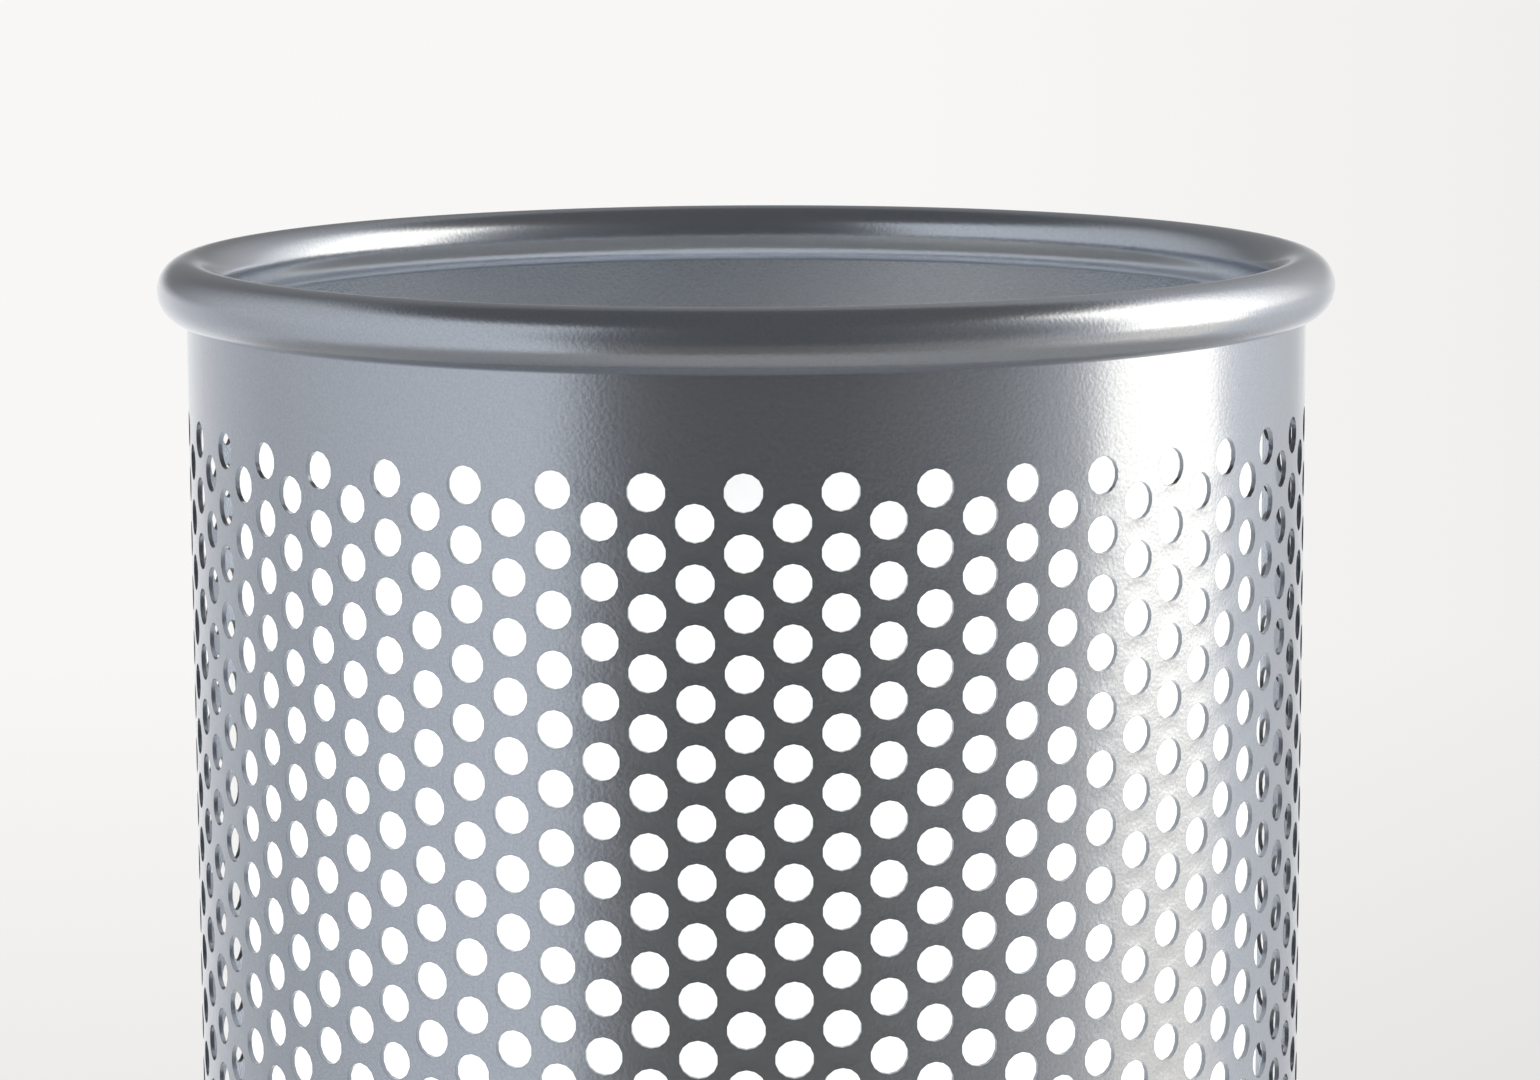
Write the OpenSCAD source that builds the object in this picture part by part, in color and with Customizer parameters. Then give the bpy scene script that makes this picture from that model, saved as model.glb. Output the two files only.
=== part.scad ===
// Round perforated umbrella stand: a rolled sheet cylinder with a rolled rim bead,
// a pressed base pan on four rubber feet, and a tall liner that lifts out.
// Millimetres. Z up, origin on the floor at the centre of the stand.

/* [Body] */
// Overall height, from the floor to the top of the rim bead
overall_h = 500; // [350:1:700]
// Outside diameter of the cylinder
body_d = 255; // [200:1:330]
// Thickness of the cylinder's sheet
sheet_t = 1; // [0.8:0.1:2]
// Height of the cylinder's lower edge above the floor
edge_lift = 4; // [2:0.5:7]

/* [Rim bead] */
// Diameter of the rolled bead
bead_d = 14; // [10:0.5:20]
// Thickness of the bead's strip
strip_t = 1; // [0.6:0.1:1.5]
// Height of the two lips that grip the sheet inside the bead
lip_h = 3; // [2:0.5:5]

/* [Base pan] */
// Thickness of the pan's sheet
pan_t = 1; // [0.8:0.1:2]
// Height of the pan's upturned flange, from its underside
flange_h = 11; // [10:1:40]
// Outer radius of the pan's pressed corner
pan_corner_r = 4; // [2:0.5:8]

/* [Rubber feet] */
// Diameter of a foot at the floor
foot_d = 24; // [20:1:30]
// Height of a foot
foot_h = 8; // [7:0.5:14]
// Distance of a foot's centre from the inside of the cylinder
foot_inset = 32; // [20:1:50]
// How much narrower a foot is at its top
foot_taper = 3; // [0:0.5:6]
// Angle of the first foot; the four stand a quarter turn apart
first_foot_angle = 45; // [0:5:90]

/* [Foot screws] */
// Shank diameter of a screw
screw_d = 5; // [4:0.5:6]
// Head diameter
head_d = 9.5; // [8:0.5:12]
// Head height
head_h = 3; // [2:0.25:4]
// Depth of the head's recess in the foot
recess_depth = 4.5; // [4.5:0.25:5.5]
// Clearance round the shank in the foot, the pan and the washer
shank_clear = 0.25; // [0.1:0.05:0.5]
// Clearance round the head in its recess
head_clear = 0.75; // [0.3:0.05:1.5]
// Washer diameter
washer_d = 10; // [9:0.5:14]
// Washer thickness
washer_t = 1; // [0.8:0.1:1.6]
// Nut width across its flats
nut_w = 8; // [7:0.5:10]
// Nut height
nut_h = 4; // [3:0.5:6]
// Length of thread past the nut
screw_end = 1; // [0.5:0.25:2]
// Width of the cross recess in the head
drive_w = 4.5; // [3:0.5:5]
// Blade thickness of the cross recess
drive_t = 1; // [0.6:0.1:1.4]
// Depth of the cross recess
drive_depth = 1.6; // [1:0.1:1.8]

/* [Liner] */
// Clearance between the liner and the rim bead it lifts through
liner_clear = 2; // [1:0.5:5]
// Wall thickness of the liner
liner_t = 1.5; // [1:0.1:3]
// Distance of the liner's top below the top of the rim
liner_drop = 33; // [25:0.5:60]
// Width of the grip lip turned in at the liner's top
grip_w = 5; // [3:0.5:10]
// Height of the grip lip's downturned edge
grip_h = 6; // [3:0.5:12]
// Clearance between the liner's floor and the foot screws
floor_clear = 2; // [1:0.5:6]

/* [Hidden] */
$fn = 160;
foot_count = 4;
through = 1;                                   // how far a cut runs past the face it opens

steel = [0.60, 0.62, 0.65];
zinc = [0.78, 0.78, 0.76];
rubber = [0.10, 0.10, 0.11];
white = [0.95, 0.95, 0.94];

shell_r = body_d / 2;
shell_in_r = shell_r - sheet_t;
bead_r = bead_d / 2;
bead_mid_r = shell_r - sheet_t / 2;            // the bead sits astride the sheet
bead_mid_z = overall_h - bead_r;
bead_in_r = bead_mid_r - bead_r;

pan_z = foot_h;                                // underside of the pan
pan_top_z = pan_z + pan_t;
seat_z = recess_depth;                         // face that a screw head seats on
foot_circle_r = shell_in_r - foot_inset;
shank_hole_d = screw_d + 2 * shank_clear;
washer_top_z = pan_top_z + washer_t;
nut_top_z = washer_top_z + nut_h;
screw_tip_z = nut_top_z + screw_end;

liner_r = bead_in_r - liner_clear;
liner_in_r = liner_r - liner_t;
liner_top_z = overall_h - liner_drop;
liner_floor_z = screw_tip_z + floor_clear;     // underside of the liner's floor

// Places its children at foot number i.
module at_foot(i) {
    rotate([0, 0, first_foot_angle + i * 360 / foot_count])
        translate([foot_circle_r, 0, 0])
            children();
}

// Places its children at every foot.
module at_feet() {
    for (i = [0 : foot_count - 1]) at_foot(i) children();
}

// Upright tube between two heights.
module tube(outer_r, inner_r, low_z, high_z) {
    translate([0, 0, low_z])
        difference() {
            cylinder(r = outer_r, h = high_z - low_z);
            translate([0, 0, -through])
                cylinder(r = inner_r, h = high_z - low_z + 2 * through);
        }
}

// Rolled sheet cylinder. Its top edge ends in the hollow of the rim bead.
// The punched holes are left out of this solid: the wall is plain.
module body_shell() {
    color(steel) tube(shell_r, shell_in_r, edge_lift, bead_mid_z);
}

// Section of the rim bead about its own centre: a rolled tube, slit at the bottom,
// with two lips turned in along the sheet that it grips.
module bead_section() {
    difference() {
        union() {
            difference() {
                circle(r = bead_r);
                circle(r = bead_r - strip_t);
            }
            intersection() {
                circle(r = bead_r);
                translate([-sheet_t / 2 - strip_t, -bead_r])
                    square([sheet_t + 2 * strip_t, lip_h]);
            }
        }
        translate([-sheet_t / 2, -bead_r - through])
            square([sheet_t, lip_h + 2 * through]);
    }
}

// Rolled rim bead, pushed over the top edge of the cylinder.
module rim_ring() {
    color(steel)
        translate([0, 0, bead_mid_z])
            rotate_extrude()
                translate([bead_mid_r, 0])
                    bead_section();
}

// Half section of the pressed pan, solid, with a rounded lower corner.
module pan_blank(r, corner_r, height) {
    union() {
        square([r - corner_r, height]);
        translate([0, corner_r]) square([r, height - corner_r]);
        translate([r - corner_r, corner_r]) circle(r = corner_r);
    }
}

// Pressed base pan with an upturned flange, welded inside the cylinder's foot.
module base_pan() {
    color(steel)
        difference() {
            translate([0, 0, pan_z])
                rotate_extrude()
                    difference() {
                        intersection() {
                            pan_blank(shell_in_r, pan_corner_r, flange_h);
                            square([shell_in_r, flange_h]);
                        }
                        translate([0, pan_t])
                            intersection() {
                                pan_blank(shell_in_r - pan_t, pan_corner_r - pan_t, flange_h);
                                square([shell_in_r - pan_t, flange_h]);
                            }
                    }
            at_feet()
                translate([0, 0, pan_z - through])
                    cylinder(d = shank_hole_d, h = pan_t + 2 * through);
        }
}

// Tapered rubber foot, bored for its screw and recessed for the head.
module foot(i) {
    color(rubber)
        at_foot(i)
            difference() {
                cylinder(d1 = foot_d, d2 = foot_d - foot_taper, h = foot_h);
                translate([0, 0, -through])
                    cylinder(d = shank_hole_d, h = foot_h + 2 * through);
                translate([0, 0, -through])
                    cylinder(d = head_d + 2 * head_clear, h = recess_depth + through);
            }
}

// Cross-recessed screws, put in from below, one to a foot.
module foot_screws() {
    color(zinc)
        at_feet()
            difference() {
                union() {
                    translate([0, 0, seat_z - head_h]) cylinder(d = head_d, h = head_h);
                    translate([0, 0, seat_z]) cylinder(d = screw_d, h = screw_tip_z - seat_z);
                }
                for (turn = [0, 90])
                    rotate([0, 0, turn])
                        translate([-drive_w / 2, -drive_t / 2, seat_z - head_h - through])
                            cube([drive_w, drive_t, drive_depth + through]);
            }
}

// Plain washers on top of the pan.
module foot_washers() {
    color(zinc)
        at_feet()
            tube(washer_d / 2, shank_hole_d / 2, pan_top_z, washer_top_z);
}

// Hexagon nuts that hold the feet on.
module foot_nuts() {
    color(zinc)
        at_feet()
            translate([0, 0, washer_top_z])
                difference() {
                    cylinder(d = nut_w / cos(30), h = nut_h, $fn = 6);
                    translate([0, 0, -through]) cylinder(d = screw_d, h = nut_h + 2 * through);
                }
}

// Watertight liner that stands on the pan: a wall, a raised floor clear of the
// foot screws, and a grip lip turned in at the top.
module inner_liner() {
    color(white)
        rotate_extrude()
            union() {
                translate([liner_in_r, pan_top_z])
                    square([liner_t, liner_top_z - pan_top_z]);
                translate([0, liner_floor_z])
                    square([liner_r, liner_t]);
                translate([liner_in_r - grip_w, liner_top_z - liner_t])
                    square([grip_w + liner_t, liner_t]);
                translate([liner_in_r - grip_w, liner_top_z - grip_h])
                    square([liner_t, grip_h]);
            }
}

body_shell();
rim_ring();
base_pan();
foot(0);  // foot_1
foot(1);  // foot_2
foot(2);  // foot_3
foot(3);  // foot_4
foot_screws();
foot_washers();
foot_nuts();
inner_liner();
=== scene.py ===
import math

import bpy
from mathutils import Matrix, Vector


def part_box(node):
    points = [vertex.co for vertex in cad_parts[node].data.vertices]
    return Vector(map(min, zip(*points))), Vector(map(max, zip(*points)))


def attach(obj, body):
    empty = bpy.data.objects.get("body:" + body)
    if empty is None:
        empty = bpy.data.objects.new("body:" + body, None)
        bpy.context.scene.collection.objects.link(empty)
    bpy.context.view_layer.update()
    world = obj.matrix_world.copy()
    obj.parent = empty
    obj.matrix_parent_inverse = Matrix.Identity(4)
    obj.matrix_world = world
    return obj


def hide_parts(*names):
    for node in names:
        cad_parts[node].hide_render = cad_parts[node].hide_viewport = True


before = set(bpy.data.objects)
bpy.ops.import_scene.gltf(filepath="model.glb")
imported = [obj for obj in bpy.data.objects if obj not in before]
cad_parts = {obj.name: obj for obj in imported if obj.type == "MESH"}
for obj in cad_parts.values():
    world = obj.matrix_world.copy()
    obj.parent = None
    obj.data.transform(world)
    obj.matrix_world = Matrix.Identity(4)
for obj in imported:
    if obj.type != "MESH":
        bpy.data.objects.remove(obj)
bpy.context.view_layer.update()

# ---------------------------------------------------------------------------------------
# Punched cylinder. One sheet of 1 mm steel, punched flat with staggered round holes, then
# rolled and butt welded at the back. A plain band is left under the rim and at the foot.
# ---------------------------------------------------------------------------------------

MM = 0.001
rim_top = round(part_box("rim_ring")[1].z, 4)


def radii(node):
    """The nearest and farthest reach of a turned CAD node from the stand's axis."""
    reach = [vertex.co.xy.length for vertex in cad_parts[node].data.vertices]
    return round(min(reach), 5), round(max(reach), 5)


shell_in_r, shell_r = radii("body_shell")
sheet_t = shell_r - shell_in_r
shell_foot, shell_head = (round(corner.z, 4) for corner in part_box("body_shell"))

columns = 80
rows = 34
row_pitch = 12.5 * MM
column_pitch = 2 * math.pi * shell_r / columns
hole_r = 4.1 * MM
hole_sides = 14
first_row = rim_top - 38.0 * MM
last_edge = first_row - row_pitch * rows
upper_ring = first_row + row_pitch + 2.0 * MM     # rings of points that end the half cells, so
lower_ring = last_edge - 8.0 * MM                 # that the bands' long faces stay flat
merge_gap = 0.01 * MM
shell_smooth = math.radians(40)


def select_only(piece):
    """Makes piece the only selected and active object."""
    bpy.ops.object.select_all(action="DESELECT")
    piece.select_set(True)
    bpy.context.view_layer.objects.active = piece


def named(name):
    """Names the piece that was just made, puts its origin at the stand's, and gives it back."""
    piece = bpy.context.active_object
    piece.name = name
    piece.data.name = name
    bpy.ops.object.transform_apply(location=True, rotation=True, scale=True)
    return piece


def pick(piece, wanted):
    """Selects, in edit mode, only the points that pass wanted, and the edges between them."""
    bpy.ops.mesh.select_all(action="DESELECT")
    bpy.ops.object.mode_set(mode="OBJECT")
    for point in piece.data.vertices:
        point.select = wanted(point.co)
    bpy.ops.object.mode_set(mode="EDIT")


def apply_modifier(piece, kind, **settings):
    """Adds one modifier with its settings and applies it."""
    modifier = piece.modifiers.new(kind.lower(), kind)
    for setting, value in settings.items():
        setattr(modifier, setting, value)
    bpy.ops.object.modifier_apply(modifier=modifier.name)


def at_height(height):
    """A test for pick: is the point at this height?"""
    return lambda point: abs(point.z - height) < merge_gap


# One cell of the flat sheet: a rectangle, one column wide and one row high, round its hole.
bpy.ops.object.select_all(action="DESELECT")
bpy.ops.mesh.primitive_grid_add(x_subdivisions=1, y_subdivisions=2, size=1,
                                location=(0, 0, first_row), rotation=(math.pi / 2, 0, 0))
shell = named("punched_cylinder")
bpy.ops.object.mode_set(mode="EDIT")
bpy.ops.transform.resize(value=(column_pitch, 1, row_pitch), center_override=(0, 0, first_row))
bpy.ops.mesh.delete(type="ONLY_FACE")
pick(shell, at_height(first_row))
bpy.ops.mesh.delete(type="EDGE")
bpy.ops.mesh.primitive_circle_add(vertices=hole_sides, radius=hole_r,
                                  location=(0, 0, first_row), rotation=(math.pi / 2, 0, 0))
bpy.ops.mesh.select_all(action="SELECT")
bpy.ops.mesh.fill(use_beauty=True)

# The next column's cell is half a row lower. Both are repeated down the sheet.
bpy.ops.mesh.select_all(action="SELECT")
bpy.ops.mesh.duplicate_move(
    TRANSFORM_OT_translate={"value": (column_pitch, 0, -row_pitch / 2)})
bpy.ops.mesh.select_all(action="SELECT")
bpy.ops.mesh.remove_doubles(threshold=merge_gap)
bpy.ops.object.mode_set(mode="OBJECT")
apply_modifier(shell, "ARRAY", count=rows, use_relative_offset=False, use_constant_offset=True,
               constant_offset_displace=(0, 0, -row_pitch), use_merge_vertices=True,
               merge_threshold=merge_gap)

# Plain half cells square off the two stepped ends, and the plain bands follow them.
bpy.ops.object.mode_set(mode="EDIT")
for edge_z, next_z in [(first_row, first_row + row_pitch / 2),
                       (first_row + row_pitch / 2, upper_ring),
                       (upper_ring, shell_head),
                       (last_edge + row_pitch / 2, last_edge),
                       (last_edge, lower_ring),
                       (lower_ring, shell_foot)]:
    pick(shell, at_height(edge_z))
    bpy.ops.mesh.extrude_edges_move(TRANSFORM_OT_translate={"value": (0, 0, next_z - edge_z)})
    bpy.ops.mesh.select_all(action="SELECT")
    bpy.ops.mesh.remove_doubles(threshold=merge_gap)
bpy.ops.transform.translate(value=(-column_pitch * columns / 2, 0, 0))
bpy.ops.object.mode_set(mode="OBJECT")
apply_modifier(shell, "ARRAY", count=columns // 2, use_relative_offset=False,
               use_constant_offset=True, constant_offset_displace=(2 * column_pitch, 0, 0),
               use_merge_vertices=True, merge_threshold=merge_gap)

# The sheet is rolled up, welded, and given its thickness inwards.
apply_modifier(shell, "SIMPLE_DEFORM", deform_method="BEND", deform_axis="Z", angle=2 * math.pi)
bpy.ops.object.mode_set(mode="EDIT")
bpy.ops.mesh.select_all(action="SELECT")
bpy.ops.transform.translate(value=(0, -shell_r, 0))
bpy.ops.mesh.remove_doubles(threshold=merge_gap)
bpy.ops.mesh.normals_make_consistent(inside=False)
bpy.ops.object.mode_set(mode="OBJECT")
apply_modifier(shell, "SOLIDIFY", thickness=sheet_t, offset=-1)
bpy.ops.object.shade_smooth_by_angle(angle=shell_smooth)


def linear(hex_colour):
    """A colour picked in sRGB, such as "9aa0a6", as linear red, green, blue and alpha."""
    shares = [int(hex_colour[i:i + 2], 16) / 255 for i in (0, 2, 4)]
    return [s / 12.92 if s <= 0.04045 else ((s + 0.055) / 1.055) ** 2.4 for s in shares] + [1]


def add_node(tree, kind, settings=(), stops=(), **links):
    """Adds a node. settings are its properties or its input sockets by name or number; stops
    are a ramp's (place, colour) pairs; links join an input, with underscores for spaces, to
    another node's output."""
    node = tree.nodes.new(kind)
    for name, value in dict(settings).items():
        if isinstance(name, int) or name in node.inputs:
            node.inputs[name].default_value = value
        else:
            setattr(node, name, value)
    if stops:
        marks = node.color_ramp.elements
        for spare in stops[2:]:
            marks.new(1)
        for mark, (place, colour) in zip(marks, stops):
            mark.position = place
            mark.color = colour
    for name, source in links.items():
        tree.links.new(source, node.inputs[name.replace("_", " ")])
    return node


def new_material(name):
    """An empty node material: gives the material, its tree and its output node."""
    material = bpy.data.materials.new(name)
    material.use_nodes = True
    material.node_tree.nodes.clear()
    return material, material.node_tree, add_node(material.node_tree, "ShaderNodeOutputMaterial")


# Silver-grey metallic powder coat: aluminium flake in a clear, cured resin. The resin flows to
# an even skin with a fine orange peel, and the flake under it gives a soft, greyer reflection.
powder_coat, tree, output = new_material("silver_powder_coat")
place = add_node(tree, "ShaderNodeTexCoord").outputs["Object"]
peel_width = 0.9 * MM
peel_depth = 0.028 * MM
edge_rounding = 0.12 * MM
peel = add_node(tree, "ShaderNodeTexNoise", {"Scale": 1 / peel_width, "Detail": 1.0,
                                              "Roughness": 0.4}, Vector=place)
flake_width = 0.5 * MM        # real flake is finer; this is the finest that still shows
flake = add_node(tree, "ShaderNodeTexNoise", {"Scale": 1 / flake_width, "Detail": 2.0},
                 Vector=place)
cloud_width = 60 * MM
cloud = add_node(tree, "ShaderNodeTexNoise", {"Scale": 1 / cloud_width, "Detail": 3.0},
                 Vector=place)
tone = add_node(tree, "ShaderNodeValToRGB",
                stops=[(0.30, linear("afb6c2")), (0.70, linear("bbc2cd"))],
                Fac=flake.outputs["Fac"])
rough = add_node(tree, "ShaderNodeMapRange", {"To Min": 0.20, "To Max": 0.26},
                 Value=cloud.outputs["Fac"])
edge = add_node(tree, "ShaderNodeBevel", {"samples": 4, "Radius": edge_rounding})
bumps = add_node(tree, "ShaderNodeBump", {"Strength": 1.0, "Distance": peel_depth},
                 Height=peel.outputs["Fac"], Normal=edge.outputs["Normal"])
coat = add_node(tree, "ShaderNodeBsdfPrincipled",
                {"Metallic": 0.9, "Coat Weight": 0.5, "Coat Roughness": 0.08},
                Base_Color=tone.outputs["Color"], Roughness=rough.outputs["Result"],
                Normal=bumps.outputs["Normal"], Coat_Normal=bumps.outputs["Normal"])
tree.links.new(coat.outputs["BSDF"], output.inputs["Surface"])

# Painted shade: the base colour is darkened on the punched edges and the bore walls, where the
# rounded normal turns away from the radial direction.
# radius of the rounded normal that sets where the painted bore shade falls
bore_shade_rounding = 0.35 * MM
bore_shaded_coat = powder_coat.copy()
bore_shaded_coat.name = "silver_powder_coat_bore_shaded"
tree = bore_shaded_coat.node_tree
coat = next(node for node in tree.nodes if node.type == "BSDF_PRINCIPLED")
place = next(node for node in tree.nodes if node.type == "TEX_COORD").outputs["Object"]
level = add_node(tree, "ShaderNodeVectorMath", {"operation": "MULTIPLY"})
level.inputs[1].default_value = (1, 1, 0)
tree.links.new(place, level.inputs[0])
radial = add_node(tree, "ShaderNodeVectorMath", {"operation": "NORMALIZE"})
tree.links.new(level.outputs["Vector"], radial.inputs[0])
facing = add_node(tree, "ShaderNodeVectorMath", {"operation": "DOT_PRODUCT"})
rounded = add_node(tree, "ShaderNodeBevel", {"samples": 4, "Radius": bore_shade_rounding})
tree.links.new(radial.outputs["Vector"], facing.inputs[0])
tree.links.new(rounded.outputs["Normal"], facing.inputs[1])
outward = add_node(tree, "ShaderNodeMath", {"operation": "ABSOLUTE"})
tree.links.new(facing.outputs["Value"], outward.inputs[0])
# painted shade in the bores: the share of the base colour kept, from 0.45 on the bore walls to 1
# on the faces
painted_bore_shade = add_node(tree, "ShaderNodeMapRange", {"From Min": 0.65, "From Max": 0.98,
                                              "To Min": 0.45, "To Max": 1.0},
                 Value=outward.outputs["Value"])
shaded_tone = add_node(tree, "ShaderNodeVectorMath", {"operation": "SCALE"})
tree.links.new(coat.inputs["Base Color"].links[0].from_socket, shaded_tone.inputs[0])
tree.links.new(painted_bore_shade.outputs["Result"], shaded_tone.inputs["Scale"])
tree.links.new(shaded_tone.outputs["Vector"], coat.inputs["Base Color"])

shell.data.materials.append(bore_shaded_coat)
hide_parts("body_shell")
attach(shell, "stand")

# ---------------------------------------------------------------------------------------
# Rim bead. A strip of steel rolled into a slit tube, closed into a hoop and pushed astride
# the sheet's top edge, where its two lips grip it. It is coated together with the cylinder.
# ---------------------------------------------------------------------------------------

bead_in_r, bead_out_r = radii("rim_ring")
bead_r = round((bead_out_r - bead_in_r) / 2, 5)
bead_mid_r = (bead_out_r + bead_in_r) / 2
bead_mid_z = rim_top - bead_r
strip_t = 1 * MM
lip_h = 3 * MM
bead_sides = 72
hoop_steps = 240
rim_smooth = math.radians(50)

bpy.ops.object.select_all(action="DESELECT")
bpy.ops.mesh.primitive_circle_add(vertices=bead_sides, radius=bead_r,
                                  location=(bead_mid_r, 0, bead_mid_z),
                                  rotation=(math.pi / 2, 0, 0))
rim = named("rim_bead")
bpy.ops.object.mode_set(mode="EDIT")
pick(rim, at_height(bead_mid_z - bead_r))
bpy.ops.mesh.delete(type="VERT")
pick(rim, at_height(bead_mid_z - bead_r * math.cos(2 * math.pi / bead_sides)))
bpy.ops.mesh.extrude_vertices_move(TRANSFORM_OT_translate={"value": (0, 0, lip_h)})
bpy.ops.mesh.select_all(action="SELECT")
bpy.ops.mesh.spin(steps=hoop_steps, angle=2 * math.pi, center=(0, 0, 0), axis=(0, 0, 1))
bpy.ops.mesh.select_all(action="SELECT")
bpy.ops.mesh.remove_doubles(threshold=merge_gap)
bpy.ops.mesh.normals_make_consistent(inside=False)
bpy.ops.object.mode_set(mode="OBJECT")
apply_modifier(rim, "SOLIDIFY", thickness=strip_t, offset=-1)
bpy.ops.object.shade_smooth_by_angle(angle=rim_smooth)
rim.data.materials.append(powder_coat)
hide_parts("rim_ring")
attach(rim, "stand")

# ---------------------------------------------------------------------------------------
# Base pan. Pressed from one disc of steel and welded inside the cylinder's foot, then coated
# with it. The CAD solid has the pan's real shape, so only its finish is set here.
# ---------------------------------------------------------------------------------------


def refinish(node, material):
    """Gives a carried-over CAD node its material."""
    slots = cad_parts[node].data.materials
    slots.clear()
    slots.append(material)


refinish("base_pan", powder_coat)

# ---------------------------------------------------------------------------------------
# Rubber feet. Moulded, matt black, with a bloom of grey dust, one screwed under each corner
# of the pan. Their screws, washers and nuts are bright zinc plated steel.
# ---------------------------------------------------------------------------------------

# Black rubber: matt, with a fine moulded grain that breaks up the light.
rubber, tree, output = new_material("moulded_rubber")
place = add_node(tree, "ShaderNodeTexCoord").outputs["Object"]
grain_width = 0.8 * MM
grain_depth = 0.05 * MM
grain = add_node(tree, "ShaderNodeTexNoise", {"Scale": 1 / grain_width, "Detail": 3.0},
                 Vector=place)
tone = add_node(tree, "ShaderNodeValToRGB", stops=[(0, linear("18181a")), (1, linear("2a2a2c"))],
                Fac=grain.outputs["Fac"])
bumps = add_node(tree, "ShaderNodeBump", {"Distance": grain_depth}, Height=grain.outputs["Fac"])
skin = add_node(tree, "ShaderNodeBsdfPrincipled", {"Roughness": 0.75},
                Base_Color=tone.outputs["Color"], Normal=bumps.outputs["Normal"])
tree.links.new(skin.outputs["BSDF"], output.inputs["Surface"])

# Bright zinc plate: a slightly warm metal, mottled where it has dulled.
zinc, tree, output = new_material("zinc_plated_steel")
place = add_node(tree, "ShaderNodeTexCoord").outputs["Object"]
spangle_width = 1.2 * MM
mottle = add_node(tree, "ShaderNodeTexNoise", {"Scale": 1 / spangle_width, "Detail": 2.0},
                  Vector=place)
tone = add_node(tree, "ShaderNodeValToRGB", stops=[(0, linear("b9bab2")), (1, linear("dadad6"))],
                Fac=mottle.outputs["Fac"])
rough = add_node(tree, "ShaderNodeMapRange", {"To Min": 0.25, "To Max": 0.40},
                 Value=mottle.outputs["Fac"])
plate = add_node(tree, "ShaderNodeBsdfPrincipled", {"Metallic": 1.0},
                 Base_Color=tone.outputs["Color"], Roughness=rough.outputs["Result"])
tree.links.new(plate.outputs["BSDF"], output.inputs["Surface"])

for number in range(1, 5):
    refinish(f"foot_{number}", rubber)
for fastener in ("foot_screws", "foot_washers", "foot_nuts"):
    refinish(fastener, zinc)

# ---------------------------------------------------------------------------------------
# Liner. The white behind the holes, read as a tall loose bucket of polypropylene that stands on
# the pan; the real stand may have none. Its raised floor and turned-in lip are guesses.
# ---------------------------------------------------------------------------------------

liner_r = radii("inner_liner")[1]
liner_foot, liner_top = (round(corner.z, 5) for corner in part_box("inner_liner"))
liner_t = 1.5 * MM
liner_in_r = liner_r - liner_t
grip_w = 5 * MM
grip_h = 6 * MM
liner_floor = liner_foot + 8 * MM
liner_sides = 160
liner_rounding = 0.5 * MM
liner_smooth = math.radians(40)
grip_in_r = liner_in_r - grip_w

# White polypropylene: a dull, even white with a faint ripple from the mould.
polypropylene, tree, output = new_material("white_polypropylene")
place = add_node(tree, "ShaderNodeTexCoord").outputs["Object"]
ripple_width = 6 * MM
ripple_depth = 0.03 * MM
ripple = add_node(tree, "ShaderNodeTexNoise", {"Scale": 1 / ripple_width, "Detail": 2.0},
                  Vector=place)
tone = add_node(tree, "ShaderNodeValToRGB", stops=[(0, linear("f1f1ef")), (1, linear("f8f8f6"))],
                Fac=ripple.outputs["Fac"])
bumps = add_node(tree, "ShaderNodeBump", {"Distance": ripple_depth}, Height=ripple.outputs["Fac"])
skin = add_node(tree, "ShaderNodeBsdfPrincipled",
                {"Roughness": 0.65, "IOR": 1.49, "Specular IOR Level": 0.3},
                Base_Color=tone.outputs["Color"], Normal=bumps.outputs["Normal"])
tree.links.new(skin.outputs["BSDF"], output.inputs["Surface"])


def pick_disc(piece, height):
    """Selects, in edit mode, only the flat faces round the axis at this height."""
    bpy.ops.mesh.select_all(action="DESELECT")
    bpy.ops.object.mode_set(mode="OBJECT")
    for face in piece.data.polygons:
        face.select = abs(face.center.z - height) < merge_gap and abs(face.normal.z) > 0.99
    bpy.ops.object.mode_set(mode="EDIT")


def step_disc(from_r, to_r, rise):
    """Extrudes the selected disc by rise and brings it to the radius to_r."""
    bpy.ops.mesh.extrude_region_move(TRANSFORM_OT_translate={"value": (0, 0, rise)})
    bpy.ops.transform.resize(value=(to_r / from_r, to_r / from_r, 1), center_override=(0, 0, 0))


bpy.ops.object.select_all(action="DESELECT")
bpy.ops.mesh.primitive_cylinder_add(vertices=liner_sides, radius=liner_r,
                                    depth=liner_top - liner_foot,
                                    location=(0, 0, (liner_top + liner_foot) / 2))
liner = named("white_liner")
bpy.ops.object.mode_set(mode="EDIT")
pick_disc(liner, liner_top)
step_disc(liner_r, grip_in_r, 0)
step_disc(1, 1, -grip_h)
step_disc(grip_in_r, grip_in_r + liner_t, 0)
step_disc(1, 1, grip_h - liner_t)
step_disc(grip_in_r + liner_t, liner_in_r, 0)
step_disc(1, 1, liner_floor - (liner_top - liner_t) + liner_t)
pick_disc(liner, liner_foot)
step_disc(liner_r, liner_in_r, 0)
step_disc(1, 1, liner_floor - liner_foot)
bpy.ops.mesh.select_all(action="SELECT")
bpy.ops.mesh.normals_make_consistent(inside=False)
bpy.ops.object.mode_set(mode="OBJECT")
apply_modifier(liner, "BEVEL", width=liner_rounding, segments=3, limit_method="ANGLE",
               angle_limit=liner_smooth)
bpy.ops.object.shade_smooth_by_angle(angle=liner_smooth)
liner.data.materials.append(polypropylene)
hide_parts("inner_liner")
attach(liner, "liner")

# ---------------------------------------------------------------------------------------
# Table. A plain pale round top that fades into the backdrop before the edge of the view.
# ---------------------------------------------------------------------------------------

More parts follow.
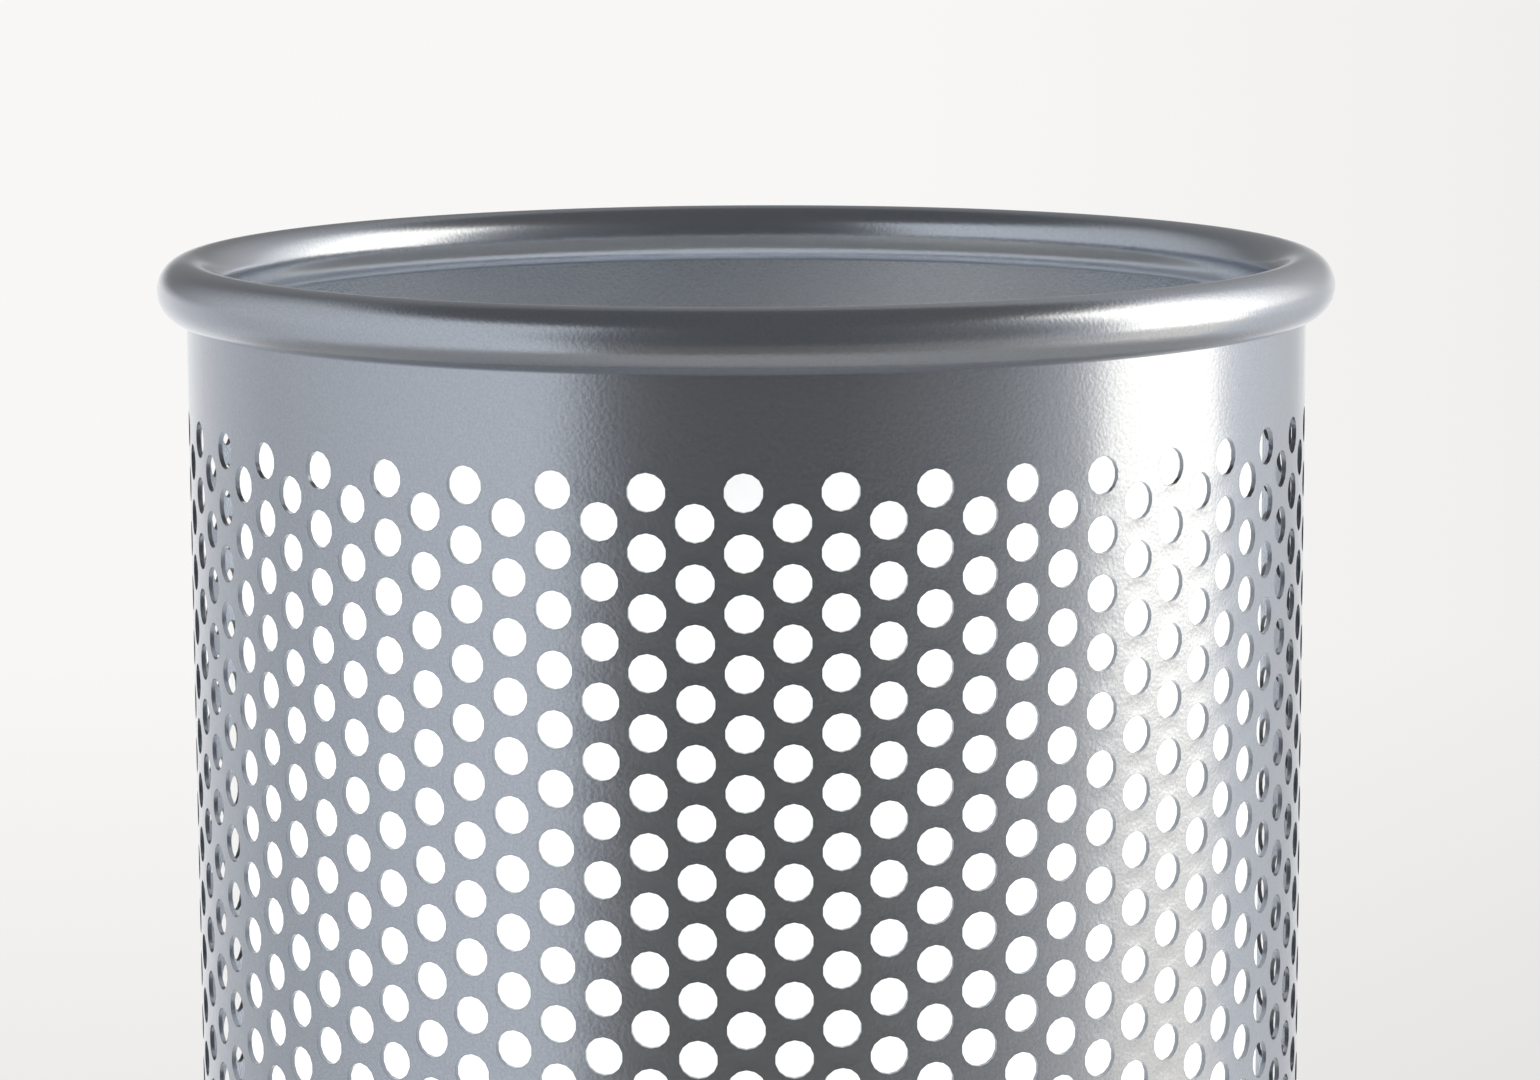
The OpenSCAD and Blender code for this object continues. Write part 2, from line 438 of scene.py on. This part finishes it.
table_r = 1.0
table_sides = 96
fade_in, fade_out = 0.6 * table_r, 0.98 * table_r

bpy.ops.object.select_all(action="DESELECT")
bpy.ops.mesh.primitive_circle_add(vertices=table_sides, radius=table_r, fill_type="NGON",
                                  location=(0, 0, 0))
table = named("pale_table")
# Pale matt paint: greyer in the light it gives back than to the eye, and clear from below.
pale, tree, output = new_material("pale_table_paint")
place = add_node(tree, "ShaderNodeTexCoord").outputs["Object"]
far = add_node(tree, "ShaderNodeVectorMath", {"operation": "LENGTH"})
tree.links.new(place, far.inputs[0])
fade = add_node(tree, "ShaderNodeMapRange",
                {"From Min": fade_in, "From Max": fade_out,
                 "interpolation_type": "SMOOTHSTEP"}, Value=far.outputs["Value"])
below = add_node(tree, "ShaderNodeNewGeometry").outputs["Backfacing"]
unseen = add_node(tree, "ShaderNodeMath", {"operation": "MAXIMUM"})
tree.links.new(fade.outputs["Result"], unseen.inputs[0])
tree.links.new(below, unseen.inputs[1])
straight = add_node(tree, "ShaderNodeLightPath").outputs["Is Camera Ray"]
tint = add_node(tree, "ShaderNodeMixRGB", {"Color1": linear("b7b6b3"),
                                           "Color2": linear("f2f1ef")}, Fac=straight)
paint = add_node(tree, "ShaderNodeBsdfDiffuse", Color=tint.outputs["Color"])
clear = add_node(tree, "ShaderNodeBsdfTransparent")
mix = add_node(tree, "ShaderNodeMixShader", Fac=unseen.outputs["Value"])
tree.links.new(paint.outputs["BSDF"], mix.inputs[1])
tree.links.new(clear.outputs["BSDF"], mix.inputs[2])
tree.links.new(mix.outputs["Shader"], output.inputs["Surface"])
table.data.materials.append(pale)

# ---------------------------------------------------------------------------------------
# Studio. A pale surround with a tall soft light on the right and a dark room in front; what
# the camera sees directly is the plain pale backdrop.
# ---------------------------------------------------------------------------------------

scene = bpy.context.scene
scene.view_settings.view_transform = "Standard"

studio = bpy.data.worlds.new("studio")
scene.world = studio
studio.use_nodes = True
tree = studio.node_tree
tree.nodes.clear()
toward = add_node(tree, "ShaderNodeTexCoord").outputs["Generated"]
axes = add_node(tree, "ShaderNodeSeparateXYZ", Vector=toward)
front = add_node(tree, "ShaderNodeMath", {"operation": "MULTIPLY"})
front.inputs[1].default_value = -1
tree.links.new(axes.outputs["Y"], front.inputs[0])
turn = add_node(tree, "ShaderNodeMath", {"operation": "ARCTAN2"})
tree.links.new(axes.outputs["X"], turn.inputs[0])
tree.links.new(front.outputs["Value"], turn.inputs[1])
share = add_node(tree, "ShaderNodeMapRange",
                 {"From Min": -math.pi, "From Max": math.pi}, Value=turn.outputs["Value"])


# What the coat mirrors, from low down to overhead. A stop is the degrees from the front, the
# brightness, and for what is warm in colour, how warm. Each layer starts below the sines of
# elevation that it is paired with, and the last is the dark ceiling.
room = None
for fade_from, fade_to, layer in [
        (None, None,
         [(-180, 0.24, 0), (-140, 0.15, 0), (-110, 0.12, 0), (-70, 0.16, 0), (-40, 0.18, 0),
          (-36, 0.17, 0), (-28, 0.045, 1), (-12, 0.036, 1), (20, 0.042, 1), (50, 0.075, 0.5),
          (74, 0.145, 0.5), (80, 0.23, 1), (107, 0.25, 1), (112, 0.17, 0), (150, 0.13, 0),
          (180, 0.24, 0)]),
        (-0.21, -0.12,
         [(-180, 0.24, 0), (-140, 0.15, 0), (-110, 0.12, 0), (-70, 0.16, 0), (-40, 0.18, 0),
          (-36, 0.17, 0), (-28, 0.035, 0), (-12, 0.022, 0), (20, 0.022, 0), (50, 0.047, 0),
          (73, 0.135, 0), (79, 0.62, 1), (107, 0.62, 1), (112, 0.20, 0), (150, 0.13, 0),
          (180, 0.24, 0)]),
        (-0.02, 0.10,
         [(-180, 0.05, 0), (-150, 0.04, 0), (-120, 0.13, 0), (-60, 0.17, 0), (-42, 0.17, 0),
          (-36, 0.12, 0), (-28, 0.03, 0), (-12, 0.022, 0), (20, 0.022, 0), (55, 0.04, 0),
          (72, 0.12, 0), (80, 0.56, 1), (112, 0.56, 1), (124, 0.32, 0.5), (145, 0.12, 0),
          (180, 0.05, 0)]),
        (0.68, 0.80, [(-180, 0.022, 0), (180, 0.022, 0)])]:
    stops = [(degrees / 360 + 0.5,
              (level, level * (1 - 0.08 * warmth), level * (1 - 0.20 * warmth), 1))
             for degrees, level, warmth in layer]
    band = add_node(tree, "ShaderNodeValToRGB", stops=stops, Fac=share.outputs["Result"])
    if room is None:
        room = band.outputs["Color"]
    else:
        part = add_node(tree, "ShaderNodeMapRange", {"From Min": fade_from, "From Max": fade_to},
                        Value=axes.outputs["Z"])
        room = add_node(tree, "ShaderNodeMixRGB", Fac=part.outputs["Result"], Color1=room,
                        Color2=band.outputs["Color"]).outputs["Color"]
room_light = add_node(tree, "ShaderNodeBackground", {"Strength": 5.0}, Color=room)
across = add_node(tree, "ShaderNodeMapRange", {"From Min": 0.02, "From Max": 0.16,
                                               "To Min": 0.94, "To Max": 0.87},
                  Value=axes.outputs["X"])
down = add_node(tree, "ShaderNodeMapRange", {"From Min": -0.26, "From Max": -0.17,
                                             "To Min": 0.90, "To Max": 1.0},
                Value=axes.outputs["Z"])
fall = add_node(tree, "ShaderNodeMath", {"operation": "MULTIPLY"})
tree.links.new(across.outputs["Result"], fall.inputs[0])
tree.links.new(down.outputs["Result"], fall.inputs[1])
backdrop = add_node(tree, "ShaderNodeBackground", {"Color": linear("fffefd")},
                    Strength=fall.outputs["Value"])
seen = add_node(tree, "ShaderNodeLightPath")
both = add_node(tree, "ShaderNodeMixShader", Fac=seen.outputs["Is Camera Ray"])
tree.links.new(room_light.outputs["Background"], both.inputs[1])
tree.links.new(backdrop.outputs["Background"], both.inputs[2])
add_node(tree, "ShaderNodeOutputWorld", Surface=both.outputs["Shader"])


def soft_light(name, place, aim, size, power, lit, shaded_by=(), spread=180):
    """A square soft light at place, turned to aim, that lights only the pieces in lit. If
    pieces are given in shaded_by, only they throw shadows in it. spread is in degrees."""
    lamp = bpy.data.lights.new(name, "AREA")
    lamp.size = size
    lamp.energy = power
    lamp.spread = math.radians(spread)
    light = bpy.data.objects.new(name, lamp)
    scene.collection.objects.link(light)
    light.location = place
    light.rotation_euler = (Vector(aim) - Vector(place)).to_track_quat("-Z", "Y").to_euler()
    light.visible_camera = False
    light.visible_glossy = False
    receivers = bpy.data.collections.new(name + "_lights")
    light.light_linking.receiver_collection = receivers
    for piece in lit:
        receivers.objects.link(piece)
    if shaded_by:
        blockers = bpy.data.collections.new(name + "_shaded_by")
        light.light_linking.blocker_collection = blockers
        for piece in shaded_by:
            blockers.objects.link(piece)


side_distance = 0.7
side_height = 0.26
side_size = 0.5
side_spread = 20

soft_light("table_light", (0, 0, 2.5), (0, 0, 0), 2.0, 34, [table])
soft_light("liner_light_above", (0, 0, 2.0), (0, 0, 0), 1.0, 18, [liner], [liner])
for side, power in [(-90, 0.6), (0, 0.65), (90, 0.48), (180, 0.45)]:
    angle = math.radians(side)
    place = (side_distance * math.sin(angle), -side_distance * math.cos(angle), side_height)
    soft_light(f"liner_light_{side % 360}", place, (0, 0, side_height), side_size, power,
               [liner], [liner], spread=side_spread)
underside = [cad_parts[name] for name in
             ("base_pan", "foot_1", "foot_2", "foot_3", "foot_4", "foot_screws",
              "foot_washers", "foot_nuts")]
soft_light("underside_light", (0.5, -0.7, -1.2), (0, 0, 0), 1.0, 20, underside, underside)

# ---------------------------------------------------------------------------------------
# Camera. A long lens a little over a metre away and just above the rim, looking down on the
# top third of the stand.
# ---------------------------------------------------------------------------------------

lens_mm = 111.5
sensor_mm = 36
nearest = 0.05
camera_distance = 1.089
camera_height = first_row + 0.137
camera_side = 0.0065
look_down = 8.67
look_right = 0.31 - math.degrees(camera_side)
lean = 0.26

camera = bpy.data.objects.new("camera", bpy.data.cameras.new("camera"))
camera.data.lens = lens_mm
camera.data.sensor_width = sensor_mm
camera.data.clip_start = nearest
camera.location = (camera_distance * math.sin(camera_side),
                   -camera_distance * math.cos(camera_side), camera_height)
camera.rotation_mode = "XYZ"
camera.rotation_euler = (math.radians(90 - look_down), math.radians(lean),
                         math.radians(-look_right))
scene.collection.objects.link(camera)
scene.camera = camera
